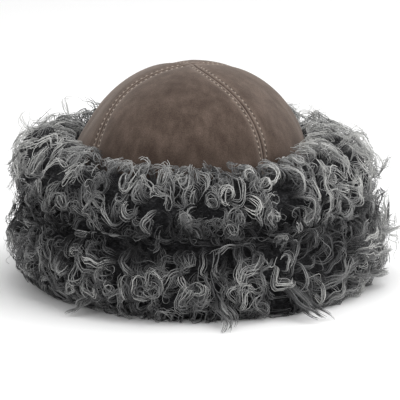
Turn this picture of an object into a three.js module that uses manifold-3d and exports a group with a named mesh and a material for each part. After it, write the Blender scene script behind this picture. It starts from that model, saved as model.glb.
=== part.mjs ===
// A suede cap with a deep turned-up cuff of curly sheepskin, standing on its cuff.
// Millimetres, +Z up, the front faces -Y. The origin is on the floor under the middle of the cap.
import * as THREE from "three";
import { mergeVertices } from "three/addons/utils/BufferGeometryUtils.js";
import Module from "manifold-3d";

const wasm = await Module();
wasm.setup();

// Every azimuth is in degrees round +Z, from 0 at the front towards +X at the wearer's left.
const crown = {
  halfWidth: 99.5, // outer, across the shoulders
  depthRatio: 1.03, // front to back, against the width
  rimHalfWidth: 96.5,
  rimHeight: 10,
  shoulderHeight: 98,
  apexHeight: 190,
  fullness: 0.96, // under 1 draws the dome out fuller than an ellipse
  wall: 2.5,
  sections: 10, // steps up the dome
  steps: 40, // steps round it
};

// The four seams. The front and back gores are a little wider than the side ones.
const seamAzimuths = [-59, 40, 121, 220];
const seam = { gap: 0.3, dip: 1.6, halfWidth: 7, deepest: 0.2 }; // deepest is a share of the radius there
const panelNames = ["front", "left", "back", "right"];

// Soft hollows pressed into the suede.
const dents = [
  { azimuth: 64, height: 158, depth: 2.6, spread: 24 },
  { azimuth: -80, height: 152, depth: 2.2, spread: 30 },
  { azimuth: 168, height: 150, depth: 2.4, spread: 28 },
];

// The dense wool body of the cuff, as a section: distance from the crown's axis, and height. Its skin turns
// in under the crown's rim, and the wool lies flat where the cap rests on it.
const cuff = {
  steps: 30,
  clearance: 0.6, // between the crown and the skin round it
  section: [
    { radius: 92, height: 0 },
    { radius: 136, height: 0 },
    { radius: 146, height: 14 },
    { radius: 149, height: 36 },
    { radius: 146, height: 58 },
    { radius: 139, height: 69 },
    { radius: 145, height: 84 },
    { radius: 144, height: 104 },
    { radius: 133, height: 118 },
    { radius: 113, height: 123 },
    { radius: 92, height: 118 },
  ],
};

// The upper tier stands out furthest between the front and the wearer's left.
const fuller = { azimuth: 58, spread: 48, by: 7, from: 62, to: 84 }; // from and to are heights

// The cuff is sewn from four strips of sheepskin. Their first join is where the wool parts, at the front.
const joinAzimuths = [28, 118, 208, 298];
const joinGap = 0.3;
const stripNames = ["left", "back", "right", "front"];

// The locks that cover the wool, a row for each round of them, in degrees and millimetres. Rise is how far
// their roots point above the floor plane, and flow is where they curl to: 0 along the cuff, 90 up, -90 down.
const lockRows = [
  { height: 15, radius: 137, rise: -12, flow: -40, count: 20, length: 54, halfWidth: 13.5 },
  { height: 37, radius: 140, rise: -2, flow: -150, count: 20, length: 57, halfWidth: 14.5 },
  { height: 60, radius: 135, rise: 6, flow: -30, count: 19, length: 54, halfWidth: 13.5 },
  { height: 86, radius: 135, rise: 2, flow: 170, count: 19, length: 56, halfWidth: 14 },
  { height: 103, radius: 131, rise: 22, flow: 20, count: 18, length: 51, halfWidth: 13.5 },
  { height: 109, radius: 115, rise: 80, flow: 10, count: 15, length: 40, halfWidth: 12.5 },
];
const flowSpread = 75; // degrees either side of the row's flow

// One lock before it curls: half-width and distance from the root, as shares of its own sizes.
const lockSection = [
  { width: 0, along: 0 },
  { width: 0.75, along: 0 },
  { width: 1, along: 0.46 },
  { width: 0.66, along: 0.78 },
  { width: 0, along: 1 },
];
const lockSides = 5;
const lean = 30; // degrees that a root already leans the way it will curl
const curl = { least: 75, most: 150, growth: 1.2, steps: 8 }; // degrees turned from root to tip
// How far one lock strays from the next: a share of their spacing, degrees, millimetres, a share of its size.
const stray = { spacing: 0.25, rise: 8, height: 3, size: 0.1 };

const reach = 400; // past every piece, for the solids that only cut

const radians = THREE.MathUtils.degToRad;

// A repeatable number from 0 to 1 for each whole number and each use.
function shuffled(index, use) {
  const wave = Math.sin(index * 127.1 + use * 311.7) * 43758.5453;
  return wave - Math.floor(wave);
}

function azimuthOf(x, y) {
  return THREE.MathUtils.radToDeg(Math.atan2(x, -y));
}

function angleBetween(a, b) {
  return Math.abs(THREE.MathUtils.euclideanModulo(a - b + 180, 360) - 180);
}

// Solid from geometry, and back again.
function solidOf(geometry) {
  const bare = geometry.clone();
  bare.deleteAttribute("normal");
  bare.deleteAttribute("uv");
  const merged = mergeVertices(bare, 1e-4);
  return new wasm.Manifold(
    new wasm.Mesh({
      numProp: 3,
      vertProperties: merged.attributes.position.array,
      triVerts: new Uint32Array(merged.index.array),
    }),
  );
}

function geometryOf(solid) {
  const mesh = solid.getMesh();
  const geometry = new THREE.BufferGeometry();
  geometry.setAttribute("position", new THREE.BufferAttribute(mesh.vertProperties, 3));
  geometry.setIndex(new THREE.BufferAttribute(mesh.triVerts, 1));
  geometry.computeVertexNormals();
  return geometry;
}

// Turns a profile of radius and height round +Z.
function turned(profile, steps) {
  const points = profile.map((p) => new THREE.Vector2(p.radius, p.height));
  return new THREE.LatheGeometry(points, steps).rotateX(Math.PI / 2);
}

function movePoints(geometry, move) {
  const position = geometry.attributes.position;
  const point = new THREE.Vector3();
  for (let i = 0; i < position.count; i++) {
    move(point.fromBufferAttribute(position, i));
    position.setXYZ(i, point.x, point.y, point.z);
  }
  return geometry;
}

// How far the suede is drawn in at a point by its seams and its dents.
function drawnIn(point) {
  const radius = Math.hypot(point.x, point.y);
  const azimuth = azimuthOf(point.x, point.y);
  const nearestSeam = Math.min(...seamAzimuths.map((s) => angleBetween(azimuth, s)));
  const fromSeam = radians(nearestSeam) * radius;
  let depth = seam.dip * Math.exp(-((fromSeam / seam.halfWidth) ** 2));
  for (const dent of dents) {
    const across = radians(angleBetween(azimuth, dent.azimuth)) * radius;
    const distance = Math.hypot(across, point.z - dent.height);
    depth += dent.depth * Math.exp(-((distance / dent.spread) ** 2));
  }
  return depth;
}

// How much further out the wool stands at an azimuth and height.
function fullerBy(azimuth, height) {
  const around = Math.exp(-((angleBetween(azimuth, fuller.azimuth) / fuller.spread) ** 2));
  return fuller.by * around * THREE.MathUtils.smoothstep(height, fuller.from, fuller.to);
}

// Half of the dome's section, from its top to its rim, offset outwards from the suede's face.
function crownProfile(offset, lowest) {
  const profile = [];
  const rise = crown.apexHeight - crown.shoulderHeight;
  for (let i = crown.sections; i >= 0; i--) {
    const turn = ((i / crown.sections) * Math.PI) / 2;
    const radius = i === crown.sections ? 0 : (crown.halfWidth + offset) * Math.cos(turn) ** crown.fullness;
    const height = crown.shoulderHeight + (rise + offset) * Math.sin(turn) ** crown.fullness;
    profile.push({ radius, height });
  }
  profile.push({ radius: crown.rimHalfWidth + offset, height: lowest });
  return profile;
}

function dressedAsCrown(geometry) {
  return movePoints(geometry, (point) => {
    const radius = Math.hypot(point.x, point.y);
    const keep = radius > 1 ? 1 - Math.min(drawnIn(point) / radius, seam.deepest) : 1;
    point.x *= keep;
    point.y *= keep * crown.depthRatio;
  });
}

function crownShell() {
  const outside = crownProfile(0, crown.rimHeight);
  const inside = crownProfile(-crown.wall, crown.rimHeight).reverse();
  const profile = [...outside, ...inside].reverse();
  return solidOf(dressedAsCrown(turned(profile, crown.steps)));
}

// The space that the crown takes, with room round it, open downwards to the rim.
function crownRoom() {
  const lowest = crown.rimHeight - seam.gap;
  const profile = [...crownProfile(cuff.clearance, lowest), { radius: 0, height: lowest }].reverse();
  return solidOf(dressedAsCrown(turned(profile, crown.steps)));
}

// The wedge between two seams, kept half a gap from each.
function wedge(from, to, gap) {
  const middle = radians((from + to) / 2);
  const half = radians((to - from) / 2);
  const setBack = gap / 2 / Math.sin(half);
  const at = (angle, distance) => [
    setBack * Math.sin(middle) + distance * Math.sin(angle),
    -setBack * Math.cos(middle) - distance * Math.cos(angle),
  ];
  const shape = new THREE.Shape();
  shape.moveTo(...at(middle, 0));
  shape.lineTo(...at(middle - half, reach));
  shape.lineTo(...at(middle, reach));
  shape.lineTo(...at(middle + half, reach));
  return solidOf(new THREE.ExtrudeGeometry(shape, { depth: reach, bevelEnabled: false }));
}

// A ring of solid cut into wedges at the azimuths given. Crumbs that a cut leaves loose are dropped.
function cutAt(azimuths, solid, gap) {
  return azimuths.map((from, k) => {
    const to = k + 1 < azimuths.length ? azimuths[k + 1] : azimuths[0] + 360;
    const bodies = solid.intersect(wedge(from, to, gap)).decompose();
    return bodies.reduce((a, b) => (b.volume() > a.volume() ? b : a));
  });
}

// Bends a straight lock into a curl, in the plane of +Z, where it starts, and +X.
function lockGeometry(length, halfWidth, bend) {
  const profile = lockSection.map((p) => ({ radius: p.width * halfWidth, height: p.along * length }));
  const turnedBy = (share) => bend * Math.max(share, 0) ** curl.growth;
  return movePoints(turned(profile, lockSides), (point) => {
    const share = point.z / length;
    let along = 0;
    let aside = 0;
    for (let i = 0; i < curl.steps; i++) {
      const part = turnedBy((share * (i + 0.5)) / curl.steps);
      along += (Math.cos(part) * point.z) / curl.steps;
      aside += (Math.sin(part) * point.z) / curl.steps;
    }
    const angle = turnedBy(share);
    point.set(aside + point.x * Math.cos(angle), point.y, along - point.x * Math.sin(angle));
  });
}

// A lock of a row, index places round it. Start is how far round the row begins, as a share of one place.
function lock(row, start, index, serial) {
  const vary = (use) => 2 * shuffled(serial, use) - 1; // from -1 to 1
  const azimuth = radians(((index + start + stray.spacing * vary(1)) / row.count) * 360);
  const radial = new THREE.Vector3(Math.sin(azimuth), -Math.cos(azimuth), 0);
  const level = new THREE.Vector3(0, 0, 1).cross(radial);
  const rise = radians(row.rise + stray.rise * vary(2));
  const outwards = radial.clone().multiplyScalar(Math.cos(rise)).setZ(Math.sin(rise));
  const up = outwards.clone().cross(level);
  const flowTurn = radians(row.flow + flowSpread * vary(3));
  const flow = level.clone().multiplyScalar(Math.cos(flowTurn)).addScaledVector(up, Math.sin(flowTurn));
  const leaned = radians(lean);
  const axis = outwards.clone().multiplyScalar(Math.cos(leaned)).addScaledVector(flow, Math.sin(leaned));
  const side = flow.multiplyScalar(Math.cos(leaned)).addScaledVector(outwards, -Math.sin(leaned));
  const fullness = fullerBy(THREE.MathUtils.radToDeg(azimuth), row.height);
  const root = radial.multiplyScalar(row.radius + fullness);
  root.y *= crown.depthRatio;
  root.z = row.height + stray.height * vary(4);
  const bend = radians(THREE.MathUtils.lerp(curl.least, curl.most, shuffled(serial, 5)));
  const size = 1 + stray.size * vary(6);
  const frame = new THREE.Matrix4().makeBasis(side, axis.clone().cross(side), axis).setPosition(root);
  return solidOf(lockGeometry(row.length * size, row.halfWidth * size, bend).applyMatrix4(frame));
}

// Wool, locks and skin as one: trimmed flat where they rest, and hollowed for the crown.
function furCuff() {
  const closed = [...cuff.section, cuff.section[0]];
  const wool = movePoints(turned(closed, cuff.steps), (point) => {
    const radius = Math.hypot(point.x, point.y);
    const outwards = 1 + fullerBy(azimuthOf(point.x, point.y), point.z) / radius;
    point.x *= outwards;
    point.y *= outwards * crown.depthRatio;
  });
  const pieces = [solidOf(wool)];
  lockRows.forEach((row, number) => {
    for (let index = 0; index < row.count; index++) {
      pieces.push(lock(row, (number % 2) / 2, index, pieces.length));
    }
  });
  const above = solidOf(new THREE.BoxGeometry(2 * reach, 2 * reach, reach).translate(0, 0, reach / 2));
  return wasm.Manifold.union(pieces).subtract(crownRoom()).intersect(above);
}

const suede = new THREE.MeshStandardMaterial({ color: 0x65554c, roughness: 0.95, metalness: 0 });
const greyWool = new THREE.MeshStandardMaterial({ color: 0x55565a, roughness: 0.9, metalness: 0 });

const cap = new THREE.Group();

function add(name, solid, material) {
  const mesh = new THREE.Mesh(geometryOf(solid), material);
  mesh.name = name;
  cap.add(mesh);
}

cutAt(seamAzimuths, crownShell(), seam.gap).forEach((panel, k) => {
  add(`crown_panel_${panelNames[k]}`, panel, suede);
});
cutAt(joinAzimuths, furCuff(), joinGap).forEach((strip, k) => {
  add(`fur_cuff_${stripNames[k]}`, strip, greyWool);
});

export default cap;
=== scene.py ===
"""A suede cap with a deep turned-up cuff of curly sheepskin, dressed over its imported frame.

Lengths are millimetres until a mesh is made, and azimuths are degrees round +Z, from 0 at the front (-Y)
towards +X at the wearer's left. The frame itself is in metres.
"""
import math

import bpy
import numpy as np
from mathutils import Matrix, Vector


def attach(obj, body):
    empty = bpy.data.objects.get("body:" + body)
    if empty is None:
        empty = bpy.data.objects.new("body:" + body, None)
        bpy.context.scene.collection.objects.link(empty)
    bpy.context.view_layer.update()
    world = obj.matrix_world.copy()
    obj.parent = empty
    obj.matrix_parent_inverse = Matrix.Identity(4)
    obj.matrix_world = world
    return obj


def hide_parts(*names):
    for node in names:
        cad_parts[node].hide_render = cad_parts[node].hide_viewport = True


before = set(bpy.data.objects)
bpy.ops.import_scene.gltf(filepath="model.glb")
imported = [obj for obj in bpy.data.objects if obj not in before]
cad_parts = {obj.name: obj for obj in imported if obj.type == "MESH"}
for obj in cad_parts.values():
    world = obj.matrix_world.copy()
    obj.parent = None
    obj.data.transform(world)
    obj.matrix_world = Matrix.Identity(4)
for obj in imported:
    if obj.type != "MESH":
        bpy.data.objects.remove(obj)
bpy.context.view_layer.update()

MM = 0.001
BODY = "root"
rng = np.random.default_rng(416)


# Camera

VIEW = {"elevation": 13.0, "distance": 2500.0, "width_seen": 348.0, "aim": (6.0, 0.0, 68.0)}


def make_camera():
    data = bpy.data.cameras.new("camera")
    data.sensor_width = 36.0
    data.lens = data.sensor_width * VIEW["distance"] / VIEW["width_seen"]
    data.clip_start = 0.1
    camera = bpy.data.objects.new("camera", data)
    tilt = math.radians(VIEW["elevation"])
    back = Vector((0, -math.cos(tilt), math.sin(tilt)))
    camera.location = (Vector(VIEW["aim"]) + back * VIEW["distance"]) * MM
    camera.rotation_euler = (-back).to_track_quat("-Z", "Y").to_euler()
    bpy.context.scene.collection.objects.link(camera)
    bpy.context.scene.camera = camera


make_camera()


# Helpers for nodes and meshes

def add_node(tree, kind, inputs=None, **settings):
    """A node of a kind, with its settings. Each input is a value or the socket that feeds it."""
    node = tree.nodes.new(kind)
    for name, value in settings.items():
        setattr(node, name, value)
    for name, value in (inputs or {}).items():
        if isinstance(value, bpy.types.NodeSocket):
            tree.links.new(value, node.inputs[name])
        else:
            node.inputs[name].default_value = value
    return node


def math_node(tree, operation, *values):
    return add_node(tree, "ShaderNodeMath", dict(enumerate(values)), operation=operation).outputs[0]


def mark_node(tree, name):
    """The value that a mesh carries under a name at each of its points."""
    return add_node(tree, "ShaderNodeAttribute", attribute_name=name).outputs["Fac"]


def noise_node(tree, scale, detail=3.0, stretch=(1, 1, 1)):
    """Noise on Object coordinates, scale in features for each metre."""
    place = add_node(tree, "ShaderNodeTexCoord").outputs["Object"]
    spread = add_node(tree, "ShaderNodeMapping", {"Vector": place, "Scale": stretch})
    inputs = {"Vector": spread.outputs[0], "Scale": scale, "Detail": detail}
    return add_node(tree, "ShaderNodeTexNoise", inputs).outputs[0]


def ramp_node(tree, value, *stops):
    """A colour ramp of (position, (r, g, b)) stops."""
    node = add_node(tree, "ShaderNodeValToRGB", {"Fac": value})
    elements = node.color_ramp.elements
    while len(elements) < len(stops):
        elements.new(0.5)
    for element, (position, colour) in zip(elements, stops):
        element.position = position
        element.color = (*colour, 1)
    return node.outputs[0]


def mix_colours(tree, blend, factor, a, b):
    node = add_node(tree, "ShaderNodeMix", data_type="RGBA", blend_type=blend)
    for index, value in ((0, factor), (6, a), (7, b)):
        if isinstance(value, bpy.types.NodeSocket):
            tree.links.new(value, node.inputs[index])
        else:
            node.inputs[index].default_value = value if index == 0 else (*value, 1)
    return node.outputs[2]


def new_material(name, roughness, **uniform):
    material = bpy.data.materials.new(name)
    material.use_nodes = True
    shader = material.node_tree.nodes["Principled BSDF"]
    shader.inputs["Roughness"].default_value = roughness
    for socket, value in uniform.items():
        shader.inputs[socket.replace("_", " ")].default_value = value
    return material, material.node_tree, shader


def add_bump(tree, shader, strength, distance, height):
    bump = add_node(tree, "ShaderNodeBump", {"Strength": strength, "Distance": distance, "Height": height})
    tree.links.new(bump.outputs[0], shader.inputs["Normal"])


def add_marks(mesh, marks):
    for name, values in marks.items():
        layer = mesh.attributes.new(name, "FLOAT", "POINT")
        layer.data.foreach_set("value", np.ravel(values).astype(np.float32))


def add_piece(name, mesh):
    piece = bpy.data.objects.new(name, mesh)
    bpy.context.scene.collection.objects.link(piece)
    return piece


def shell_mesh(name, outer, inner, material, marks):
    """A closed wall between two grids of points (rows, columns, 3), with the outer grid's marks on both."""
    rows, columns = outer.shape[:2]
    inside = rows * columns
    faces = []
    for r in range(rows - 1):
        for c in range(columns - 1):
            a = r * columns + c
            faces.append((a, a + 1, a + columns + 1, a + columns))
            faces.append((a + inside, a + columns + inside, a + columns + 1 + inside, a + 1 + inside))
    rim = [*range(columns), *range(2 * columns - 1, inside, columns)]
    rim += [*range(inside - 2, inside - columns - 1, -1), *range(inside - 2 * columns, 0, -columns)]
    for a, b in zip(rim, rim[1:] + rim[:1]):
        faces.append((b, a, a + inside, b + inside))
    mesh = bpy.data.meshes.new(name)
    points = np.concatenate([outer.reshape(-1, 3), inner.reshape(-1, 3)]) * MM
    mesh.from_pydata(points.tolist(), [], faces)
    mesh.polygons.foreach_set("use_smooth", [True] * len(faces))
    mesh.materials.append(material)
    add_marks(mesh, {key: np.concatenate([value.ravel(), value.ravel()]) for key, value in marks.items()})
    return mesh


def turned_from(azimuth, middle):
    """Degrees round from a middle, from -180 to 180."""
    return (azimuth - middle + 180) % 360 - 180


# Smooth random fields over the cap: degrees and millimetres from one feature to the next, and a seed.
FIELDS = {
    "uneven_suede": (20, 18, 5),
    "underwool_lumps": (5, 13, 11),
    "sweep_of_wool": (10, 22, 21),
    "side_of_wool": (40, 34, 22),
    "lumps_of_locks": (8, 14, 31),
    "way_of_curl": (9, 20, 41),
    "strength_of_curl": (9, 20, 42),
    "wander_of_tone": (12, 200, 51),
}
FIELD_CORNERS = 97


def field_at(name, azimuth, along):
    """Smooth values from 0 to 1, the same again after a whole turn."""
    degrees, step, seed = FIELDS[name]
    corners = np.random.default_rng(seed).random((FIELD_CORNERS, FIELD_CORNERS))
    x, y = azimuth / degrees, along / step
    ix, iy = np.floor(x).astype(int), np.floor(y).astype(int)
    fx, fy = x - ix, y - iy
    fx, fy = fx * fx * (3 - 2 * fx), fy * fy * (3 - 2 * fy)
    left, right = ix % (360 // degrees), (ix + 1) % (360 // degrees)
    low, high = iy % FIELD_CORNERS, (iy + 1) % FIELD_CORNERS
    bottom = corners[left, low] * (1 - fx) + corners[right, low] * fx
    top = corners[left, high] * (1 - fx) + corners[right, high] * fx
    return bottom * (1 - fy) + top * fy


def bell(distance, width):
    return np.exp(-((distance / width) ** 2))


def table(names, *rows):
    """Rows of values under the same names."""
    return [dict(zip(names.split(), row)) for row in rows]


# The suede crown, on the same sizes as its solids

CROWN = {
    "half_width": 99.5,
    "depth_ratio": 1.03,
    "rim_half_width": 96.5,
    "rim_height": 10.0,
    "shoulder_height": 98.0,
    "apex_height": 190.0,
    "fullness": 0.96,
    "wall": 2.3,
}
SEAMS = {"front": (-58, 39), "left": (39, 121), "back": (121, 220), "right": (220, 302)}
# How many degrees a seam has turned back by the time it reaches the apex, how far it bows on its way, and
# how dark the painted shade in its groove is.
SEAM_PATHS = {
    39: {"turned": 28.5, "bowed": -5.0, "groove_shade": 0.35},
    302: {"turned": 0, "bowed": 9.5, "groove_shade": 1.0},
}
PLAIN_PATH = {"turned": 0, "bowed": 0, "groove_shade": 0.7}
# The powers by which a seam's turn and bow come on.
SEAM_EASE = {"turned": 1.2, "bowed": 1.3}
SEAM = {"dip": 1.6, "dip_width": 7.0, "roll": 0.8, "roll_width": 0.8}
WELT = {"from_seam": 2.1, "height": 0.55, "width": 1.2}
STITCH_ROW = {"from_seam": 4.0, "depth": 0.4, "width": 0.9}
STITCH = {"pitch": 4.9, "length": 2.1, "thickness": 1.0, "proud": 0.25, "apex_clear": 7.0}
# Soft hollows, creases and the pinched foot of a seam, and how far each spreads across and along.
HOLLOWS = table(
    "azimuth height depth across along",
    (64, 158, 2.6, 24, 24),
    (-80, 152, 2.2, 30, 30),
    (168, 150, 2.4, 28, 28),
    (84, 148, 1.1, 5, 26),
    (76, 160, 0.8, 4, 20),
    (-84, 140, 0.9, 5, 22),
    (12, 126, 0.9, 30, 6),
    (43, 104, 5.0, 9, 20),
)
UNEVEN_SUEDE = 0.5
# The radius within which the relief fades away towards the apex.
APEX_FADE = 12
# Where the crown stands fuller over the cuff, at the wearer's right.
FLARE = {"azimuth": -86, "height": 108, "by": 5.5, "across": 34, "along": 20}
LEAST_RADIUS = 0.02
GORE_HIDDEN_ROWS = 10
GORE_DOME_ROWS = 58
GORE_MIDDLE_COLUMNS = 24
# How far the first columns of a gore stand from its seam, at the shoulder.
EDGE_COLUMNS = [0.12, 0.35, 0.7, 1.2, 1.8, 2.6, 3.4, 4.2, 5.2, 6.6, 8.6, 11.5]


def dome_line(offset):
    """Radius and height of the crown's section from its rim to its apex."""
    lift = CROWN["apex_height"] - CROWN["shoulder_height"]
    climb = np.linspace(0, 1, GORE_HIDDEN_ROWS, endpoint=False)
    side_radius = CROWN["rim_half_width"] + climb * (CROWN["half_width"] - CROWN["rim_half_width"]) + offset
    side_height = CROWN["rim_height"] + climb * (CROWN["shoulder_height"] - CROWN["rim_height"])
    turn = np.linspace(0, math.pi / 2, GORE_DOME_ROWS)
    cosine = np.clip(np.cos(turn), 1e-9, 1)
    dome_radius = (CROWN["half_width"] + offset) * cosine ** CROWN["fullness"]
    dome_height = CROWN["shoulder_height"] + (lift + offset) * np.sin(turn) ** CROWN["fullness"]
    return np.concatenate([side_radius, dome_radius]), np.concatenate([side_height, dome_height])


def line_normals(radius, height):
    along_radius, along_height = np.gradient(radius), np.gradient(height)
    length = np.hypot(along_radius, along_height)
    return along_height / length, -along_radius / length


def on_crown(radius, height, azimuth):
    turn = np.radians(azimuth)
    x = radius * np.sin(turn)
    y = -radius * np.cos(turn) * CROWN["depth_ratio"]
    return np.stack(np.broadcast_arrays(x, y, height), axis=-1)


def seam_path(azimuth):
    return SEAM_PATHS.get(azimuth % 360, PLAIN_PATH)


def seam_at(azimuth, radius):
    """Where the seam that starts at an azimuth has got to at a radius."""
    path = seam_path(azimuth)
    share = np.clip(radius / CROWN["half_width"], 0, 1)
    turned = path["turned"] * (1 - share) ** SEAM_EASE["turned"]
    return azimuth - turned - path["bowed"] * np.sin(math.pi * share ** SEAM_EASE["bowed"])


def flare_at(azimuth, height):
    turned = turned_from(azimuth, FLARE["azimuth"])
    return FLARE["by"] * bell(turned, FLARE["across"]) * bell(height - FLARE["height"], FLARE["along"])


def crown_relief(radius, height, azimuth, from_seam):
    """How far the suede stands out of the plain dome at each point."""
    fade = np.clip(radius / APEX_FADE, 0, 1)
    relief = -SEAM["dip"] * bell(from_seam, SEAM["dip_width"]) * fade
    relief += WELT["height"] * bell(from_seam - WELT["from_seam"], WELT["width"]) * fade
    relief -= STITCH_ROW["depth"] * bell(from_seam - STITCH_ROW["from_seam"], STITCH_ROW["width"]) * fade
    relief -= SEAM["roll"] * np.clip(1 - from_seam / SEAM["roll_width"], 0, 1) ** 2
    for hollow in HOLLOWS:
        across = np.radians(turned_from(azimuth, hollow["azimuth"])) * radius
        along = height - hollow["height"]
        relief -= hollow["depth"] * bell(across, hollow["across"]) * bell(along, hollow["along"])
    relief += UNEVEN_SUEDE * (field_at("uneven_suede", azimuth, height) - 0.5) * fade
    return relief + flare_at(azimuth, height)


def gore_grid(start, end, offset):
    """Points of one gore, and how far each is from the nearest seam."""
    radius, height = dome_line(offset)
    out_radius, out_height = line_normals(radius, height)
    shoulder = CROWN["half_width"] * math.radians(end - start)
    edges = np.array(EDGE_COLUMNS) / shoulder
    middle = np.linspace(edges[-1], 1 - edges[-1], GORE_MIDDLE_COLUMNS)[1:-1]
    across = np.concatenate([edges, middle, 1 - edges[::-1]])[None, :]
    radius, height = radius[:, None], height[:, None]
    first, last = seam_at(start, radius), seam_at(end, radius)
    azimuth = first + across * (last - first)
    from_seam = np.minimum(across, 1 - across) * np.radians(last - first) * radius
    relief = crown_relief(radius, height, azimuth, from_seam)
    radius = np.maximum(radius + relief * out_radius[:, None], LEAST_RADIUS)
    return on_crown(radius, height + relief * out_height[:, None], azimuth), from_seam


def run_along(points):
    """How far along a line each of its points is."""
    return np.concatenate([[0], np.cumsum(np.linalg.norm(np.diff(points, axis=0), axis=1))])


def points_at(at, run, points):
    """The points of a line, or what they carry, at given lengths along it."""
    return np.stack([np.interp(at, run, points[:, k]) for k in range(points.shape[1])], axis=1)


def stitch_line(azimuth, side):
    """Where a row of stitches runs beside a seam, from the rim towards the apex, and out of the suede."""
    radius, height = dome_line(0)
    out_radius, out_height = line_normals(radius, height)
    beside = side * STITCH_ROW["from_seam"]
    keep = radius > STITCH["apex_clear"]
    radius, height, out_radius, out_height = (v[keep] for v in (radius, height, out_radius, out_height))
    turned = seam_at(azimuth, radius) + np.degrees(beside / radius)
    relief = crown_relief(radius, height, turned, np.full_like(radius, STITCH_ROW["from_seam"]))
    stand = relief + STITCH["proud"] * STITCH["thickness"]
    points = on_crown(radius + stand * out_radius, height + stand * out_height, turned)
    outwards = on_crown(out_radius, out_height, turned)
    return points, outwards / np.linalg.norm(outwards, axis=1, keepdims=True)


def each_half(grid, first, second):
    """A grid with one value over the half by its first seam and another over the rest."""
    half = grid.shape[1] // 2
    made = np.empty_like(grid)
    made[:, :half], made[:, half:] = first, second
    return made


def stitch_marks(start, end, from_seam):
    """Stitches counted up the nearest seam at each point of a gore's grid."""
    radius, _ = dome_line(0)
    counts = []
    for azimuth, side in ((start, 1), (end, -1)):
        points, _ = stitch_line(azimuth, side)
        run = run_along(points)
        stitches = round(run[-1] / STITCH["pitch"])
        count = np.full(len(radius), float(stitches))
        count[: len(run)] = run / run[-1] * stitches
        counts.append(count)
    return each_half(from_seam, counts[0][:, None], counts[1][:, None])


# Brown suede from its dark patches to its pale ones, and the colours beside its seams: painted shade in the
# groove and the needle holes, and a worn ridge and band.
SUEDE_TONES = [(0.36, (0.057, 0.038, 0.030)), (0.50, (0.082, 0.058, 0.046)), (0.64, (0.116, 0.083, 0.067))]
SUEDE_GRAIN = [(0.3, (0.72, 0.72, 0.72)), (0.7, (1.2, 1.2, 1.2))]
SUEDE_COLOURS = {
    "groove_shade": (0.012, 0.009, 0.008),
    "ridge": (0.21, 0.165, 0.14),
    "hole": (0.010, 0.008, 0.007),
    "worn": (0.19, 0.145, 0.12),
}
# A seam's groove and its needle holes, darkened as painted shade, its pale worn ridge and the worn band along
# a row of stitches. An edge is where each starts to fade and where it is gone, in millimetres, or for a hole
# in squares of its size.
SEAM_LOOK = {
    "groove_shade": 0.85,
    "groove_width": 0.9,
    "ridge": 0.45,
    "ridge_fall": 0.35,
    "hole_across": 1.15,
    "hole_along": 0.28,
    "hole_edge": (0.5, 1.6),
    "worn": 0.85,
    "worn_edge": (1.0, 5.0),
}
# How far each part of the suede stands up or sinks, before the bump's own strength.
SUEDE_BUMP = {"hole": -0.5, "nap": 0.3, "brushed": 0.5, "pucker": 0.25, "most_pucker": 1.6}


def falling(tree, value, start, end):
    """1 up to a start, falling to 0 at an end."""
    inputs = {"Value": value, "From Min": start, "From Max": end, "To Min": 1.0, "To Max": 0.0}
    return add_node(tree, "ShaderNodeMapRange", inputs).outputs[0]


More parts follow.
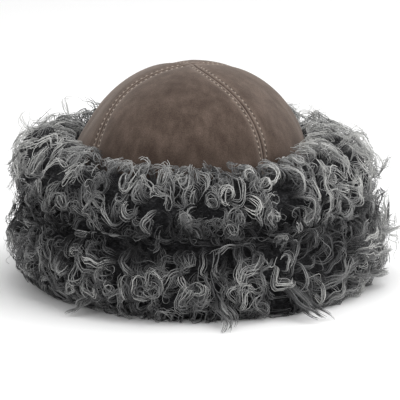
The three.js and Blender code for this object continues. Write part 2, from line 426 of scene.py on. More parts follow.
def suede_material():
    """Patchy brushed suede, with painted shade in the seam grooves and needle holes and wear beside the
    seams, placed by the marks on the gores.
    """
    material, tree, shader = new_material("suede", 0.95, Specular_IOR_Level=0.15, Sheen_Weight=0.31)
    shader.inputs["Sheen Roughness"].default_value = 0.45
    shader.inputs["Sheen Tint"].default_value = (1.0, 0.89, 0.81, 1)
    patches = noise_node(tree, 46, 6)
    brushed = noise_node(tree, 130, 4, (1, 1, 0.35))
    nap = noise_node(tree, 1100, 2)
    tone = math_node(tree, "MULTIPLY", math_node(tree, "ADD", patches, brushed), 0.5)
    colour = ramp_node(tree, tone, *SUEDE_TONES)
    colour = mix_colours(tree, "MULTIPLY", 1.0, colour, ramp_node(tree, nap, *SUEDE_GRAIN))

    from_seam = mark_node(tree, "from_seam")
    # The seam's groove is darkened with painted shade, fading away from the seam.
    groove_shade = math_node(tree, "DIVIDE", from_seam, SEAM_LOOK["groove_width"])
    groove_shade = math_node(tree, "SUBTRACT", SEAM_LOOK["groove_shade"], groove_shade)
    groove_shade = add_node(tree, "ShaderNodeClamp", {"Value": groove_shade}).outputs[0]
    groove_shade = math_node(tree, "MULTIPLY", groove_shade, mark_node(tree, "groove_shade"))
    colour = mix_colours(tree, "MIX", groove_shade, colour, SUEDE_COLOURS["groove_shade"])

    ridge = math_node(tree, "ABSOLUTE", math_node(tree, "SUBTRACT", from_seam, WELT["from_seam"]))
    ridge = math_node(tree, "MULTIPLY", ridge, SEAM_LOOK["ridge_fall"])
    ridge = math_node(tree, "SUBTRACT", SEAM_LOOK["ridge"], ridge)
    ridge = add_node(tree, "ShaderNodeClamp", {"Value": ridge}).outputs[0]
    colour = mix_colours(tree, "MIX", ridge, colour, SUEDE_COLOURS["ridge"])

    # Needle holes are dots of painted shade halfway between the stitches of each row.
    from_row = math_node(tree, "SUBTRACT", from_seam, STITCH_ROW["from_seam"])
    beside = math_node(tree, "DIVIDE", from_row, SEAM_LOOK["hole_across"])
    between = math_node(tree, "SUBTRACT", math_node(tree, "FRACT", mark_node(tree, "stitches")), 0.5)
    between = math_node(tree, "DIVIDE", math_node(tree, "ABSOLUTE", between), SEAM_LOOK["hole_along"])
    squares = [math_node(tree, "MULTIPLY", part, part) for part in (beside, between)]
    hole = falling(tree, math_node(tree, "ADD", *squares), *SEAM_LOOK["hole_edge"])
    colour = mix_colours(tree, "MIX", hole, colour, SUEDE_COLOURS["hole"])

    near_row = falling(tree, math_node(tree, "ABSOLUTE", from_row), *SEAM_LOOK["worn_edge"])
    worn = math_node(tree, "MULTIPLY", near_row, math_node(tree, "MULTIPLY", brushed, SEAM_LOOK["worn"]))
    colour = mix_colours(tree, "MIX", worn, colour, SUEDE_COLOURS["worn"])
    tree.links.new(colour, shader.inputs["Base Color"])

    pucker = math_node(tree, "MINIMUM", between, SUEDE_BUMP["most_pucker"])
    pucker = math_node(tree, "MULTIPLY", near_row, pucker)
    height = 0
    for key, part in (("hole", hole), ("nap", nap), ("brushed", brushed), ("pucker", pucker)):
        height = math_node(tree, "ADD", height, math_node(tree, "MULTIPLY", part, SUEDE_BUMP[key]))
    add_bump(tree, shader, 0.5, 0.0009, height)
    return material


def thread_material():
    material, tree, shader = new_material("thread", 0.7, Specular_IOR_Level=0.3)
    twist = noise_node(tree, 2200, 2)
    colour = ramp_node(tree, twist, (0.3, (0.28, 0.23, 0.19)), (0.7, (0.62, 0.54, 0.46)))
    tree.links.new(colour, shader.inputs["Base Color"])
    add_bump(tree, shader, 0.4, 0.0003, twist)
    return material


def make_gores():
    suede = suede_material()
    for name, (start, end) in SEAMS.items():
        outer, from_seam = gore_grid(start, end, 0)
        inner, _ = gore_grid(start, end, -CROWN["wall"])
        # How dark the painted shade in the groove is at each of the gore's seams.
        groove_shades = [seam_path(seam)["groove_shade"] for seam in (start, end)]
        marks = {"from_seam": from_seam, "stitches": stitch_marks(start, end, from_seam),
                 "groove_shade": each_half(from_seam, *groove_shades)}
        mesh = shell_mesh(f"suede_gore_{name}", outer, inner, suede, marks)
        gore = add_piece(f"suede_gore_{name}", mesh)
        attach(gore, BODY)
        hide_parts(f"crown_panel_{name}")


# Geometry Nodes for what follows a line

def carried_node(tree, name, kind):
    """What the points of a line carry under a name."""
    return add_node(tree, "GeometryNodeInputNamedAttribute", {"Name": name}, data_type=kind).outputs[0]


def node_tree(name, inputs):
    """An empty Geometry Nodes tree with named inputs, and its Group Input."""
    tree = bpy.data.node_groups.new(name, "GeometryNodeTree")
    tree.interface.new_socket("Lines", in_out="INPUT", socket_type="NodeSocketGeometry")
    for label, kind in inputs.items():
        tree.interface.new_socket(label, in_out="INPUT", socket_type=kind)
    tree.interface.new_socket("Made", in_out="OUTPUT", socket_type="NodeSocketGeometry")
    return tree, tree.nodes.new("NodeGroupInput").outputs


def finish_tree(tree, geometry, material):
    smooth = add_node(tree, "GeometryNodeSetShadeSmooth", {"Geometry": geometry})
    real = add_node(tree, "GeometryNodeRealizeInstances", {"Geometry": smooth.outputs[0]})
    painted = add_node(tree, "GeometryNodeSetMaterial", {"Geometry": real.outputs[0], "Material": material})
    tree.links.new(painted.outputs[0], tree.nodes.new("NodeGroupOutput").inputs[0])


def lines_mesh(name, lines, marks):
    """Loose lines (lines, points, 3) as a mesh of edges, with marks at their points."""
    count, points = lines.shape[:2]
    first = np.arange(count * points).reshape(count, points)
    pairs = np.stack([first[:, :-1].ravel(), first[:, 1:].ravel()], axis=1)
    mesh = bpy.data.meshes.new(name)
    mesh.vertices.add(count * points)
    mesh.vertices.foreach_set("co", (lines * MM).astype(np.float32).ravel())
    mesh.edges.add(len(pairs))
    mesh.edges.foreach_set("vertices", pairs.astype(np.int32).ravel())
    add_marks(mesh, marks)
    mesh.update()
    return mesh


def grown_along(name, mesh, tree, values):
    """The plain mesh that a tree makes of lines."""
    source = add_piece(name + "_lines", mesh)
    modifier = source.modifiers.new("made", "NODES")
    modifier.node_group = tree
    for item in tree.interface.items_tree:
        if item.in_out == "INPUT" and item.name in values:
            modifier[item.identifier] = values[item.name]
    graph = bpy.context.evaluated_depsgraph_get()
    made = bpy.data.meshes.new_from_object(
        source.evaluated_get(graph), preserve_all_data_layers=True, depsgraph=graph)
    made.name = name
    bpy.data.objects.remove(source)
    bpy.data.meshes.remove(mesh)
    return made


def stitch_tree():
    tree, given = node_tree("row_of_stitches", {
        "Length": "NodeSocketFloat", "Thickness": "NodeSocketFloat", "Thread": "NodeSocketMaterial"})
    axes = {
        "Primary Axis": carried_node(tree, "outwards", "FLOAT_VECTOR"),
        "Secondary Axis": carried_node(tree, "along", "FLOAT_VECTOR"),
    }
    turn = add_node(tree, "FunctionNodeAxesToRotation", axes, primary_axis="Z", secondary_axis="X")
    ball = add_node(tree, "GeometryNodeMeshUVSphere", {"Segments": 6, "Rings": 4, "Radius": 0.5})
    size = add_node(tree, "ShaderNodeCombineXYZ", {
        "X": given["Length"], "Y": given["Thickness"], "Z": given["Thickness"]})
    stitches = add_node(tree, "GeometryNodeInstanceOnPoints", {
        "Points": given["Lines"], "Instance": ball.outputs[0], "Rotation": turn.outputs[0],
        "Scale": size.outputs[0]})
    finish_tree(tree, stitches.outputs[0], given["Thread"])
    return tree


def make_hair_tree():
    """Tubes swept along loose lines, as thick as each point's half_width in millimetres."""
    tree, given = node_tree("swept_hair", {"Sides": "NodeSocketInt", "Wool": "NodeSocketMaterial"})
    curves = add_node(tree, "GeometryNodeMeshToCurve", {"Mesh": given["Lines"]})
    circle = add_node(tree, "GeometryNodeCurvePrimitiveCircle", {"Resolution": given["Sides"], "Radius": MM})
    girth = carried_node(tree, "half_width", "FLOAT")
    hair = add_node(tree, "GeometryNodeCurveToMesh", {
        "Curve": curves.outputs[0], "Profile Curve": circle.outputs[0], "Scale": girth, "Fill Caps": True})
    finish_tree(tree, hair.outputs[0], given["Wool"])
    return tree


hair_tree = make_hair_tree()


def make_stitches():
    """Both rows of each seam, one stitch to each pitch, lying along the row."""
    thread = thread_material()
    tree = stitch_tree()
    for name, (start, end) in SEAMS.items():
        middles, ways, outs = [], [], []
        for azimuth, side in ((start, 1), (end, -1)):
            points, outwards = stitch_line(azimuth, side)
            run = run_along(points)
            count = round(run[-1] / STITCH["pitch"])
            at = np.arange(1, count) / count * run[-1]
            step = 0.5 * STITCH["pitch"]
            middles.append(points_at(at, run, points))
            ways.append(points_at(at + step, run, points) - points_at(at - step, run, points))
            outs.append(points_at(at, run, outwards))
        places = np.concatenate(middles)
        mesh = bpy.data.meshes.new(f"stitches_{name}")
        mesh.from_pydata((places * MM).tolist(), [], [])
        for key, vectors in (("outwards", np.concatenate(outs)), ("along", np.concatenate(ways))):
            layer = mesh.attributes.new(key, "FLOAT_VECTOR", "POINT")
            layer.data.foreach_set("vector", vectors.astype(np.float32).ravel())
        values = {"Length": STITCH["length"] * MM, "Thickness": STITCH["thickness"] * MM, "Thread": thread}
        stitches = add_piece(f"stitches_{name}", grown_along(f"stitches_{name}", mesh, tree, values))
        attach(stitches, BODY)


# The sheepskin cuff

STRIPS = {"left": (28, 118), "back": (118, 208), "right": (208, 298), "front": (298, 388)}
# Section of the dense underwool that the locks grow from, as (radius, height): from under the cuff, round its
# outside and over its top to the crown.
WOOL_SECTION = [
    (102, 2.6), (118, 2.6), (131, 3.2), (139, 9), (143.5, 20), (145.5, 34), (143, 50), (138, 62),
    (136, 70), (137.5, 80), (138, 92), (134, 103), (125, 110.5), (114, 112), (104, 109),
]
# The section goes on up the crown's own face, where locks lie but none grows.
CROWN_SECTION = [(100.5, 116), (97.5, 126), (92.5, 137)]
SECTION_STEPS = 280
# The height of the valley between the two tiers.
VALLEY = 68.0
# How high the locks stand off the underwool: (height up the cuff's outside, lowest, highest).
LOFT = [(0, 0.5, 1.6), (4, 1, 8), (12, 5, 21), (30, 6, 25), (50, 6, 24), (66, 4, 18), (84, 6, 24),
        (98, 7, 28), (112, 6, 25)]
# Over the cuff's top the locks lie lower: by what share round the cap, by how much more at the front, and
# over how many millimetres that comes on.
OVER_TOP = {"lower": 0.3, "more_in_front": 0.2, "within": 16}
# Patches where the wool is longer or shorter than that, and how far each spreads in degrees and millimetres.
PATCHES = table(
    "azimuth level longer across along",
    (95, 34, 22, 46, 28),
    (84, 92, 20, 42, 18),
    (105, 110, 10, 38, 12),
    (-98, 106, 26, 36, 18),
    (20, 4, 18, 50, 12),
    (0, 110, -7, 44, 15),
    (-62, 4, -32, 32, 18),
    (-76, 110, 16, 26, 9),
    (38, 112, -17, 9, 16),
)
PARTING = {"azimuth": 28, "push": 2.0, "spread": 4.4, "top": 44, "fade": 16}
# Where the lower tier lies nearly straight, swept back from the parting.
COMBED = {"azimuth": 68, "across": 36, "top": 64, "fade": 10}
# Wool keeps this far off the crown and the floor.
CLEARANCE = 0.3


def smooth_line(points, count):
    """A line of count points, evenly spaced, through a few given ones."""
    points = np.array(points, float)
    knots = run_along(points)
    slopes = np.gradient(points, knots, axis=0)
    at = np.linspace(0, knots[-1], 6 * count)
    k = np.clip(np.searchsorted(knots, at, side="right") - 1, 0, len(points) - 2)
    span = (knots[k + 1] - knots[k])[:, None]
    t = (at - knots[k])[:, None] / span
    curve = (points[k] * (2 * t**3 - 3 * t**2 + 1) + slopes[k] * span * (t**3 - 2 * t**2 + t)
             + points[k + 1] * (3 * t**2 - 2 * t**3) + slopes[k + 1] * span * (t**3 - t**2))
    run = run_along(curve)
    even = np.linspace(0, run[-1], count)
    return even, points_at(even, run, curve)


section_run, section_line = smooth_line(WOOL_SECTION + CROWN_SECTION, SECTION_STEPS)
section_out = np.stack(line_normals(section_line[:, 0], section_line[:, 1]), axis=1)
wool_end = section_run[np.argmin(np.hypot(*(section_line - WOOL_SECTION[-1]).T))]
crest_run = section_run[np.argmax(np.where(section_run < wool_end, section_line[:, 1], 0))]


def along_section(run, values):
    return np.interp(run, section_run, values)


def level_at(run):
    """Height above the floor at a run up the section."""
    return along_section(run, section_line[:, 1])


def off_wool(run, height):
    """Radius and height above the floor, a run up the section and a height off the underwool."""
    radius = along_section(run, section_line[:, 0]) + height * along_section(run, section_out[:, 0])
    level = level_at(run) + height * along_section(run, section_out[:, 1])
    return radius, level


def crown_radius_at(height):
    """The crown's outer radius at a height, for keeping the wool out of it."""
    rise = (height - CROWN["shoulder_height"]) / (CROWN["apex_height"] - CROWN["shoulder_height"])
    turn = np.arcsin(np.clip(rise, 0, 1) ** (1 / CROWN["fullness"]))
    return CROWN["half_width"] * np.cos(turn) ** CROWN["fullness"]


def kept_clear(radius, level, azimuth, room):
    """Wool kept out of the crown and up off the floor."""
    level = np.maximum(level, CLEARANCE + room)
    nearest = crown_radius_at(level) + flare_at(azimuth, level) + CLEARANCE + room
    return np.maximum(radius, nearest), level


def swell_at(azimuth, run):
    """How much longer the wool is at a place than its height alone makes it."""
    level = level_at(run)
    longer = 0
    for patch in PATCHES:
        near = bell(turned_from(azimuth, patch["azimuth"]), patch["across"])
        longer = longer + patch["longer"] * near * bell(level - patch["level"], patch["along"])
    return longer


def loft_at(azimuth, run, share):
    """How high a lock stands, between the lowest and the highest for its place."""
    heights, lowest, highest = np.transpose(LOFT)
    lowest = np.interp(level_at(run), heights, lowest)
    highest = np.interp(level_at(run), heights, highest)
    front = np.cos(np.radians(azimuth))
    over_top = np.clip((run - crest_run) / OVER_TOP["within"], 0, 1)
    over_top = over_top * (OVER_TOP["lower"] + OVER_TOP["more_in_front"] * front)
    highest = (highest + swell_at(azimuth, run)) * (1 - over_top)
    return lowest + share * np.maximum(highest - lowest, 1)


# The underwool's near-black tones: the fleece's own dark base, darkened further as painted shade of its
# depths.
UNDERWOOL_TONES = [
    (0.38, (0.006, 0.006, 0.0065)), (0.55, (0.023, 0.023, 0.025)), (0.7, (0.085, 0.085, 0.088)),
]
# The underwool of a strip: its points, the gap at a join in degrees, the height and mean of its lumps, its
# share of the locks' swell, its plain edges, and how far it keeps off the floor and the skin.
UNDERWOOL = {"rows": 46, "columns": 54, "gap": 0.08, "lumps": 4.5, "mean": 0.4, "swell": 0.6, "edge": 20,
             "off_floor": 1.0, "off_skin": 0.6}


def underwool_material():
    """Near-black clumps and finer strands, the fleece's dark base deepened as painted shade, with a deep
    bump.
    """
    material, tree, shader = new_material("underwool", 0.9, Specular_IOR_Level=0.15)
    clumps = noise_node(tree, 150, 4)
    strands = noise_node(tree, 420, 3, (1, 1, 2.6))
    halves = [math_node(tree, "MULTIPLY", part, 0.5) for part in (clumps, strands)]
    tone = math_node(tree, "ADD", *halves)
    tree.links.new(ramp_node(tree, tone, *UNDERWOOL_TONES), shader.inputs["Base Color"])
    add_bump(tree, shader, 1.0, 0.005, tone)
    return material


def make_underwool():
    """The dense wool of each strip: outer grid lumpy, inner grid on the skin round the crown."""
    wool = underwool_material()
    run = np.linspace(0, wool_end, UNDERWOOL["rows"])[:, None]
    edge = np.clip(np.minimum(run, wool_end - run) / UNDERWOOL["edge"], 0, 1)
    for name, (start, end) in STRIPS.items():
        gap = UNDERWOOL["gap"]
        azimuth = np.linspace(start + gap, end - gap, UNDERWOOL["columns"])[None, :]
        lumps = field_at("underwool_lumps", azimuth, run) - UNDERWOOL["mean"]
        height = UNDERWOOL["lumps"] * lumps + UNDERWOOL["swell"] * swell_at(azimuth, run)
        radius, level = off_wool(run, height * edge)
        outer = on_crown(radius, np.maximum(level, UNDERWOOL["off_floor"]), azimuth)
        skin_level = np.linspace(level[0, 0], level[-1, 0], UNDERWOOL["rows"])[:, None]
        skin_radius = np.maximum(crown_radius_at(skin_level), CROWN["rim_half_width"]) + UNDERWOOL["off_skin"]
        inner = on_crown(skin_radius, skin_level, azimuth)
        piece = add_piece(f"underwool_{name}", shell_mesh(f"underwool_{name}", outer, inner, wool, {}))
        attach(piece, BODY)
        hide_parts(f"fur_cuff_{name}")


# The share of the locks that grow at each run up the section: few where the cap stands on them.
CROWDING = ([0, 20, 34], [0.15, 0.4, 1])
# Multiples of these two, less their whole parts, fill a square evenly. A small random part loosens them.
EVEN_STEPS = {"run": 0.7548776662, "turn": 0.5698402910}
LOOSER = {"run": 0.02, "turn": 0.01}


def scattered_roots(count, upper, lower):
    """Roots spread over the wool, as azimuth in degrees and run up the section: so many in each tier."""
    crowding = np.where(section_line[:, 1] > VALLEY, upper, lower) * np.interp(section_run, *CROWDING)
    area = np.where(section_run < wool_end, section_line[:, 0] * crowding, 0)
    area = np.concatenate([[0], np.cumsum(0.5 * (area[1:] + area[:-1]))])
    k = np.arange(count)
    share = (k * EVEN_STEPS["run"] + rng.uniform(0, LOOSER["run"], count)) % 1
    turn = (k * EVEN_STEPS["turn"] + rng.uniform(0, LOOSER["turn"], count)) % 1
    return turn * 360, np.interp(share * area[-1], area, section_run)


# The lower tier lies away from the parting. Past left_until, on the wearer's left, it lies either way by
# patches. The upper tier lies every way.
FLOW = {"left_until": 80, "either_way": 0.45, "droop": 12, "lower": 130, "upper": 576, "upper_from": -120}


def flow_at(azimuth, run):
    """Which way the wool lies, in degrees: 0 round the cuff as azimuths go, 90 up it."""
    sweep = field_at("sweep_of_wool", azimuth, run)
    turned = turned_from(azimuth, PARTING["azimuth"])
    leftwards = (turned < FLOW["left_until"]) | (field_at("side_of_wool", azimuth, run) > FLOW["either_way"])
    side = np.where((turned > 0) & leftwards, 1, -1)
    sideways = 90 - 90 * side + side * (FLOW["lower"] * (sweep - 0.5) - FLOW["droop"])
    any_way = FLOW["upper_from"] + FLOW["upper"] * sweep
    return np.where(level_at(run) < VALLEY, sideways, any_way)


# Three sorts of lock: how many, hairs in each, how crowded they are in each tier, how far they turn from root
# to tip in degrees and how late, their length and half-width, and how far they scatter from the way that the
# wool lies.
LOCKS = table(
    "name count each upper lower turn late length half scatter",
    ("ring", 560, 6, 1.0, 0.5, (250, 420), 1.25, (28, 43), (1.3, 3.0), 40),
    ("wave", 1380, 6, 0.75, 1.0, (60, 240), 1.15, (27, 43), (1.5, 3.4), 26),
    ("stray", 600, 1, 1.0, 1.0, (80, 360), 1.3, (20, 38), (1.0, 2.0), 80),
)
HAIR_POINTS = 12
# Locks of the upper tier against those of the lower one: shorter, curlier and less alike.
UPPER_TIER = {"length": 0.9, "scatter": 1.5, "least_curl": 0.5}
# How much longer, straighter and more alike the combed locks are.
COMBED_LOCKS = {"length": 0.25, "turn": -0.65, "scatter": -0.6}
# How high a lock stands between the lowest and highest: by the lumps of the fleece, and by chance.
STAND = {"least": 0.15, "chance": (0.55, 1.0)}
# How far a lock curls, as a share of what its sort allows: by its patch of the fleece, and by chance.
CURL = {"patch": 1.6, "less": 0.3, "chance": 0.25, "most": 1.1, "turned_back": 0.12}
# Waves along a lock and ripples that lift it, lowest and highest: radians and millimetres.
LOCK_WAVES = {
    "wave": (0.3, 0.85),
    "wavelength": (13, 22),
    "phase": (0, 2 * math.pi),
    "ripple": (0.8, 2.6),
    "ripple_length": (16, 26),
    "ripple_phase": (0, 2 * math.pi),
}
TIP_LIFT = (-0.6, 0.25)
TONE_BY_LOCK = 0.14


def grown_locks(sort):
    """The place and shape of each lock of one sort, a value for each lock."""
    azimuth, run = scattered_roots(sort["count"], sort["upper"], sort["lower"])
    count = len(azimuth)
    combed = bell(turned_from(azimuth, COMBED["azimuth"]), COMBED["across"])
    combed = combed * np.clip((COMBED["top"] - level_at(run)) / COMBED["fade"], 0, 1)
    upper = level_at(run) > VALLEY

    lumps = STAND["least"] + (1 - STAND["least"]) * field_at("lumps_of_locks", azimuth, run)
    stand = loft_at(azimuth, run, lumps * rng.uniform(*STAND["chance"], count))

    way = np.where(field_at("way_of_curl", azimuth, run) > 0.5, 1, -1)
    way = np.where(rng.random(count) < CURL["turned_back"], -way, way)
    far = CURL["patch"] * field_at("strength_of_curl", azimuth, run) - CURL["less"]
    far = far + rng.uniform(-CURL["chance"], CURL["chance"], count)
    far = np.clip(far, np.where(upper, UPPER_TIER["least_curl"], 0), CURL["most"])
    turn = np.radians(sort["turn"][0] + far * (sort["turn"][1] - sort["turn"][0])) * way

    length = rng.uniform(*sort["length"], count) * np.where(upper, UPPER_TIER["length"], 1)
    scatter = rng.normal(0, sort["scatter"], count) * np.where(upper, UPPER_TIER["scatter"], 1)
    lock = {
        "azimuth": azimuth,
        "run": run,
        "stand": stand,
        "length": length * (1 + COMBED_LOCKS["length"] * combed),
        "heading": np.radians(flow_at(azimuth, run) + scatter * (1 + COMBED_LOCKS["scatter"] * combed)),
        "turn": turn * (1 + COMBED_LOCKS["turn"] * combed),
    }
    for key, (low, high) in LOCK_WAVES.items():
        lock[key] = rng.uniform(low, high, count)
    lock["ripple"] = lock["ripple"] * np.clip(stand / 10, 0.15, 1)
    lock["half"] = rng.uniform(*sort["half"], count)
    lock["tip"] = rng.uniform(*TIP_LIFT, count)
    lock["tone"] = rng.normal(0, TONE_BY_LOCK, count)
    return lock


# How far a hair strays from its lock, in millimetres, radians, or shares of the lock's width, and its length
# as a share of the lock's.
STRAYING = {"aside": 0.2, "phase": 0.2, "turn": 0.07, "heading": 0.07, "ripple": 0.25, "height": 0.8}
HAIR_REACH = (0.78, 1.08)
# How a lock rises and bends over: how fast and within what room, where its tip starts to lift or hang, how
# proud its middle hairs stand, how deep its root sits, and how steep it may be.
RISE = {"rate": 2.4, "room": 5, "tip_from": 0.55, "proud": 1.4, "root_depth": 2.5, "steepest": 0.9}
# How far a lock may stand over the highest for its place, a stray hair more, and how soft that ceiling is.
CEILING = {"over": 2, "stray_over": 3, "soft": 0.25}
# How wide a lock is along its length.
LOCK_OUTLINE = ([0, 0.35, 0.75, 1], [0.7, 1.0, 0.85, 0.35])
# The radius that turns millimetres along the cuff into degrees, and how far up the crown a lock may lie.
MEAN_RADIUS = 150
ONTO_CROWN = 12


def soon(along, times):
    """From 0 at the root to 1 within one part in so many of a lock's length."""
    return np.clip(along * times, 0, 1)


def hairs_of(locks, sort):
    """Hairs that follow their lock side by side, each a little its own way."""
    lock = {key: np.repeat(values, sort["each"])[:, None] for key, values in locks.items()}
    total = len(lock["run"])

    def own(key):
        return rng.normal(0, STRAYING[key], (total, 1))

    across = (np.arange(total)[:, None] % sort["each"] + 0.5) / sort["each"] * 2 - 1 + own("aside")
    reach = rng.uniform(*HAIR_REACH, (total, 1))
    s = np.linspace(0, 1, HAIR_POINTS)[None, :] * lock["length"] * reach
    along = s / lock["length"]

    waver = lock["wave"] * np.sin(2 * math.pi * s / lock["wavelength"] + lock["phase"] + own("phase"))
    angle = lock["heading"] + lock["turn"] * (1 + own("turn")) * along ** sort["late"] + own("heading")
    angle = angle + waver * soon(along, 3)

    rippling = 2 * math.pi * s / lock["ripple_length"] + lock["ripple_phase"] + own("ripple")
    height = lock["stand"] * (1 - np.exp(-RISE["rate"] * s / (lock["stand"] + RISE["room"])))
    height = height + lock["ripple"] * np.sqrt(along) * np.sin(rippling)
    late = np.clip(along - RISE["tip_from"], 0, 1) / (1 - RISE["tip_from"])
    height = height + lock["tip"] * lock["stand"] * late
    height = height + (RISE["proud"] * (1 - across**2) + own("height")) * soon(along, 2)

    # What a hair climbs is taken off what it covers over the underwool, so that its length stays the same.
    step = np.diff(s, axis=1)
    climb = np.clip(np.diff(height, axis=1) / step, -RISE["steepest"], RISE["steepest"])
    level_step = step * np.sqrt(1 - climb**2)
    middle = 0.5 * (angle[:, 1:] + angle[:, :-1])
    start = np.zeros((total, 1))
    level_way = np.concatenate([start, np.cumsum(level_step * np.cos(middle), axis=1)], axis=1)
    upward_way = np.concatenate([start, np.cumsum(level_step * np.sin(middle), axis=1)], axis=1)
    aside = across * lock["half"] * np.interp(along, *LOCK_OUTLINE)
    run = np.clip(lock["run"] + upward_way + aside * np.cos(angle), 0, wool_end + ONTO_CROWN)
    azimuth = lock["azimuth"] + np.degrees((level_way - aside * np.sin(angle)) / MEAN_RADIUS)

    ceiling = loft_at(azimuth, run, 1.0) + CEILING["over"] + CEILING["stray_over"] * (sort["each"] == 1)
    height = np.minimum(height, ceiling + CEILING["soft"] * (height - ceiling))
    height = height - RISE["root_depth"] * (1 - soon(along, 6))
    radius, level = off_wool(run, height)
    return {"radius": radius, "level": level, "azimuth": parted(azimuth, level), "height": height,
            "along": along, "root": lock["azimuth"][:, 0], "tone": lock["tone"], "across": across}


def parted(azimuth, level):
    """Hair pushed to either side of the join where the wool parts."""
    turned = turned_from(azimuth, PARTING["azimuth"])
    fade = np.clip((PARTING["top"] - level) / PARTING["fade"], 0, 1)
    return azimuth + PARTING["push"] * np.sign(turned) * bell(turned, PARTING["spread"]) * fade


# How pale a hair is: at its root; with its height off the underwool, as painted shade deep in the fleece;
# along its length; at the sides of its lock, darker as painted shade that rounds the lock; and by chance; and
# how far the heights of the tiers' painted light and shade wander round the cap.
TONE = {"least": 0.08, "painted_shade_by_height": 0.38, "high": 24, "most_high": 1.1, "by_length": 0.22, "sides": -0.05,
        "chance": 0.06, "wander": 22, "wander_from": 600}
# How much paler the wool is painted at each height than its hollows and crests alone make it: painted light
# on the bulge of each tier, most on the upper tier under light from above, and painted shade in the valley
# between them.
TIER_PAINTED_LIGHT_AND_SHADE = [(0, 0), (20, 0.16), (44, 0.15), (60, -0.13), (73, -0.17), (90, 0.13), (110, 0.215), (130, 0.245)]
# Painted light on the wool at the wearer's left, where the key light falls, from one height up to another.
LEFT_PAINTED_LIGHT = {"paler": 0.15, "from": 20, "within": 70}


def wool_tone(hairs):
    """Painted shade at the roots and deep in the fleece, painted light on its crests, paler tips, painted
    light on the upper tier and the wearer's left, and painted shade in the valley between the tiers.
    """
    azimuth, level = hairs["azimuth"], hairs["level"]
    # Hairs low in the fleece are darker and high ones paler: painted shade and light by height.
    high = np.clip(hairs["height"] / TONE["high"], 0, TONE["most_high"])
    tone = TONE["least"] + TONE["painted_shade_by_height"] * high + TONE["by_length"] * hairs["along"]
    # The sides of a lock are darker: painted shade that rounds it.
    tone = tone + hairs["tone"] + TONE["sides"] * hairs["across"] ** 2
    wander = TONE["wander"] * (field_at("wander_of_tone", azimuth, level + TONE["wander_from"]) - 0.5)
    # Painted light and shade of the tiers, by height.
    tone = tone + np.interp(level + wander, *np.transpose(TIER_PAINTED_LIGHT_AND_SHADE))
    # Painted light on the wearer's left, where the key light falls.
    leftwards = np.clip(np.sin(np.radians(azimuth)), 0, 1)
    rising = np.clip((level - LEFT_PAINTED_LIGHT["from"]) / LEFT_PAINTED_LIGHT["within"], 0, 1)
    return tone + LEFT_PAINTED_LIGHT["paler"] * leftwards * rising


# A hair's half-width, how it differs from hair to hair, the sides of its tube, and its taper.
HAIR = {"half_width": 0.31, "uneven": (0.7, 1.3), "sides": 3,
        "taper": ([0, 0.3, 0.8, 1.05], [0.8, 1.0, 0.8, 0.3])}
HAIR_TONES = [
    (0.0, (0.005, 0.005, 0.0055)), (0.25, (0.027, 0.027, 0.0285)), (0.5, (0.130, 0.131, 0.133)),
    (0.75, (0.36, 0.362, 0.357)), (1.0, (0.66, 0.66, 0.64)),
]


def hair_material():
    """Curly wool by the tone that each hair carries, with its painted light and shade."""
    material, tree, shader = new_material("curly_wool_hairs", 0.5, Specular_IOR_Level=0.27, Sheen_Weight=0.07)
    grain = math_node(tree, "SUBTRACT", noise_node(tree, 900, 2), 0.5)
    tone = math_node(tree, "ADD", mark_node(tree, "tone"), math_node(tree, "MULTIPLY", grain, 0.2))
    tree.links.new(ramp_node(tree, tone, *HAIR_TONES), shader.inputs["Base Color"])
    return material


def grow_wool(name, hairs, material):
    """The hairs of each strip as one piece, swept along their lines."""
    count = len(hairs["radius"])
    half_width = HAIR["half_width"] * rng.uniform(*HAIR["uneven"], (count, 1))
    room = HAIR["half_width"] * HAIR["uneven"][1]
    radius, level = kept_clear(hairs["radius"], hairs["level"], hairs["azimuth"], room)
    lines = on_crown(radius, level, hairs["azimuth"])
    girth = np.interp(hairs["along"], *HAIR["taper"]) * half_width
    tone = np.clip(wool_tone(hairs) + rng.normal(0, TONE["chance"], (count, 1)), 0.02, 1)
    strip_of = ((hairs["root"] - STRIPS["left"][0]) % 360 // (360 / len(STRIPS))).astype(int)
    for index, strip in enumerate(STRIPS):
        mine = strip_of == index
        mesh = lines_mesh(f"{name}_{strip}", lines[mine], {"half_width": girth[mine], "tone": tone[mine]})
        made = grown_along(f"{name}_{strip}", mesh, hair_tree, {"Sides": HAIR["sides"], "Wool": material})
        made.attributes.remove(made.attributes["half_width"])
        piece = add_piece(f"{name}_{strip}", made)
        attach(piece, BODY)


# Tufts that stand out of the rest, each from one (radius, height) to another, of so many locks. Sweep is how
# far round the cap they lie over, in degrees, and curl is how far each lock waves, in millimetres. Tone makes
# a tuft darker or paler; the tuft hanging at the front, at azimuth 9, is darkened as painted shade against
# the light that falls on it.
TUFTS = table(
    "azimuth root tip sweep width locks curl tone",
    (9, (150, 24), (187, 2), 1, 20, 9, 3.4, -0.12),
    (31, (148, 36), (186, 2), 6, 24, 10, 2.0, -0.24),
    (-35, (146, 20), (174, 2), -3, 16, 7, 2.4, -0.05),
    (68, (155, 30), (179, 34), 13, 15, 6, 2.6, 0.04),
    (74, (157, 52), (182, 50), 10, 15, 6, 2.8, 0.04),
    (70, (154, 16), (177, 12), 12, 14, 6, 2.2, 0.04),
    (160, (150, 24), (178, 2), 4, 17, 7, 2.6, 0.0),
    (250, (150, 30), (178, 26), -8, 15, 6, 2.6, 0.0),
)
# A tuft's locks: hairs in each, half-width and points, and what differs from lock to lock and from hair to
# hair. Closer is the share of the tuft's width that its locks spread over, from root to tip.
TUFT_LOCK = {
    "each": 7,
    "half": 2.2,
    "points": 13,
    "closer": ([0, 1], [0.5, 0.28]),
    "outline": ([0, 0.5, 1], [0.8, 1, 0.25]),
    "reach": (0.55, 1.0),
    "hair_reach": (0.88, 1.05),
    "waves": (5, 10),
    "phase": (0, 6),
    "hair_phase": 0.2,
    "hair_height": 0.7,
    "lift": 0.7,
    "tone": (-0.1, 0.1),
    "radius": 160,
}
# The height off the underwool that sets a tuft's painted shade, at its roots and how much more at its tips.
TUFT_HEIGHT = (12, 8)


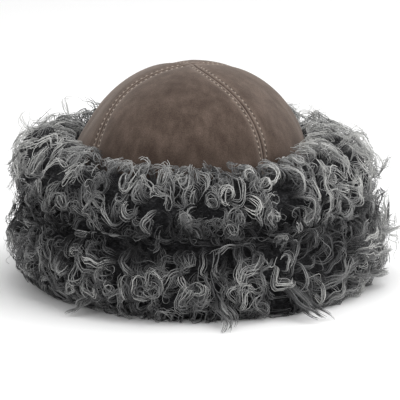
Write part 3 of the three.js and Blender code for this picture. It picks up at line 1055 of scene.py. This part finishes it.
def tuft_lines(tuft):
    """The hairs of one tuft's locks, apart at their roots and a little closer at their tips."""
    count = tuft["locks"] * TUFT_LOCK["each"]

    def for_each_lock(low, high):
        return np.repeat(rng.uniform(low, high, tuft["locks"]), TUFT_LOCK["each"])[:, None]

    share = np.linspace(0, 1, TUFT_LOCK["points"])[None, :]
    closer = np.interp(share, *TUFT_LOCK["closer"]) * tuft["width"]
    within = rng.uniform(-1, 1, (count, 1)) * TUFT_LOCK["half"] * np.interp(share, *TUFT_LOCK["outline"])
    reach = for_each_lock(*TUFT_LOCK["reach"]) * rng.uniform(*TUFT_LOCK["hair_reach"], (count, 1)) * share
    bend = for_each_lock(*TUFT_LOCK["waves"]) * reach + for_each_lock(*TUFT_LOCK["phase"])
    bend = bend + rng.normal(0, TUFT_LOCK["hair_phase"], (count, 1))
    beside = for_each_lock(-1, 1) * closer + within + tuft["curl"] * np.sin(bend) * np.sqrt(share)
    above = for_each_lock(-0.5, 0.5) * closer + rng.normal(0, TUFT_LOCK["hair_height"], (count, 1))
    above = above + TUFT_LOCK["lift"] * tuft["curl"] * np.cos(bend) * share
    radius = tuft["root"][0] + (tuft["tip"][0] - tuft["root"][0]) * reach + 0.5 * above
    level = tuft["root"][1] + (tuft["tip"][1] - tuft["root"][1]) * reach ** 0.9 + above
    azimuth = tuft["azimuth"] + tuft["sweep"] * reach ** 1.4 + np.degrees(beside / TUFT_LOCK["radius"])
    even = np.ones_like(radius)
    return {
        "radius": radius,
        "level": level,
        "azimuth": azimuth,
        "height": (TUFT_HEIGHT[0] + TUFT_HEIGHT[1] * share) * even,
        "along": share * even,
        "root": np.full(count, float(tuft["azimuth"])),
        "tone": tuft["tone"] + for_each_lock(*TUFT_LOCK["tone"]) * even,
        "across": 0 * even,
    }


def make_locks():
    """Rings, waves and stray hairs over the whole cuff, and then its tufts."""
    wool = hair_material()
    for sort in LOCKS:
        grow_wool(sort["name"] + "_hairs", hairs_of(grown_locks(sort), sort), wool)
    tufts = [tuft_lines(tuft) for tuft in TUFTS]
    grow_wool("tufts", {key: np.concatenate([tuft[key] for tuft in tufts]) for key in tufts[0]}, wool)


# Floor and light

FLOOR_REACH = 12.0
FLOOR_TONES = [(0.3, (0.93, 0.93, 0.93)), (0.7, (0.95, 0.95, 0.95))]
# Metres and watts.
LIGHTS = {
    "key": {"place": (1.7, -0.6, 1.7), "size": 3.2, "power": 39},
    "top": {"place": (0.3, 0.4, 2.4), "size": 2.4, "power": 34},
    "fill": {"place": (-1.5, -2.2, 1.3), "size": 1.8, "power": 16},
}
LIGHTS_AIM = (0, 0, 0.1)
WORLD_STRENGTH = 0.55


def make_stage():
    material, tree, shader = new_material("pale_floor", 0.9, Specular_IOR_Level=0.1)
    colour = ramp_node(tree, noise_node(tree, 0.6, 2), *FLOOR_TONES)
    tree.links.new(colour, shader.inputs["Base Color"])
    mesh = bpy.data.meshes.new("floor")
    corners = [(x * FLOOR_REACH, y * FLOOR_REACH, 0) for x, y in ((-1, -1), (1, -1), (1, 1), (-1, 1))]
    mesh.from_pydata(corners, [], [(0, 1, 2, 3)])
    mesh.materials.append(material)
    add_piece("floor", mesh)


def make_lights():
    aim = Vector(LIGHTS_AIM)
    for name, light in LIGHTS.items():
        data = bpy.data.lights.new(name, "AREA")
        data.size = light["size"]
        data.energy = light["power"]
        lamp = bpy.data.objects.new(name, data)
        lamp.location = light["place"]
        lamp.rotation_euler = (aim - lamp.location).to_track_quat("-Z", "Y").to_euler()
        bpy.context.scene.collection.objects.link(lamp)
    world = bpy.data.worlds.new("studio")
    world.use_nodes = True
    background = world.node_tree.nodes["Background"]
    background.inputs["Color"].default_value = (1, 1, 1, 1)
    background.inputs["Strength"].default_value = WORLD_STRENGTH
    bpy.context.scene.world = world
    bpy.context.scene.view_settings.view_transform = "Standard"


make_stage()
make_lights()
make_gores()
make_stitches()
make_underwool()
make_locks()
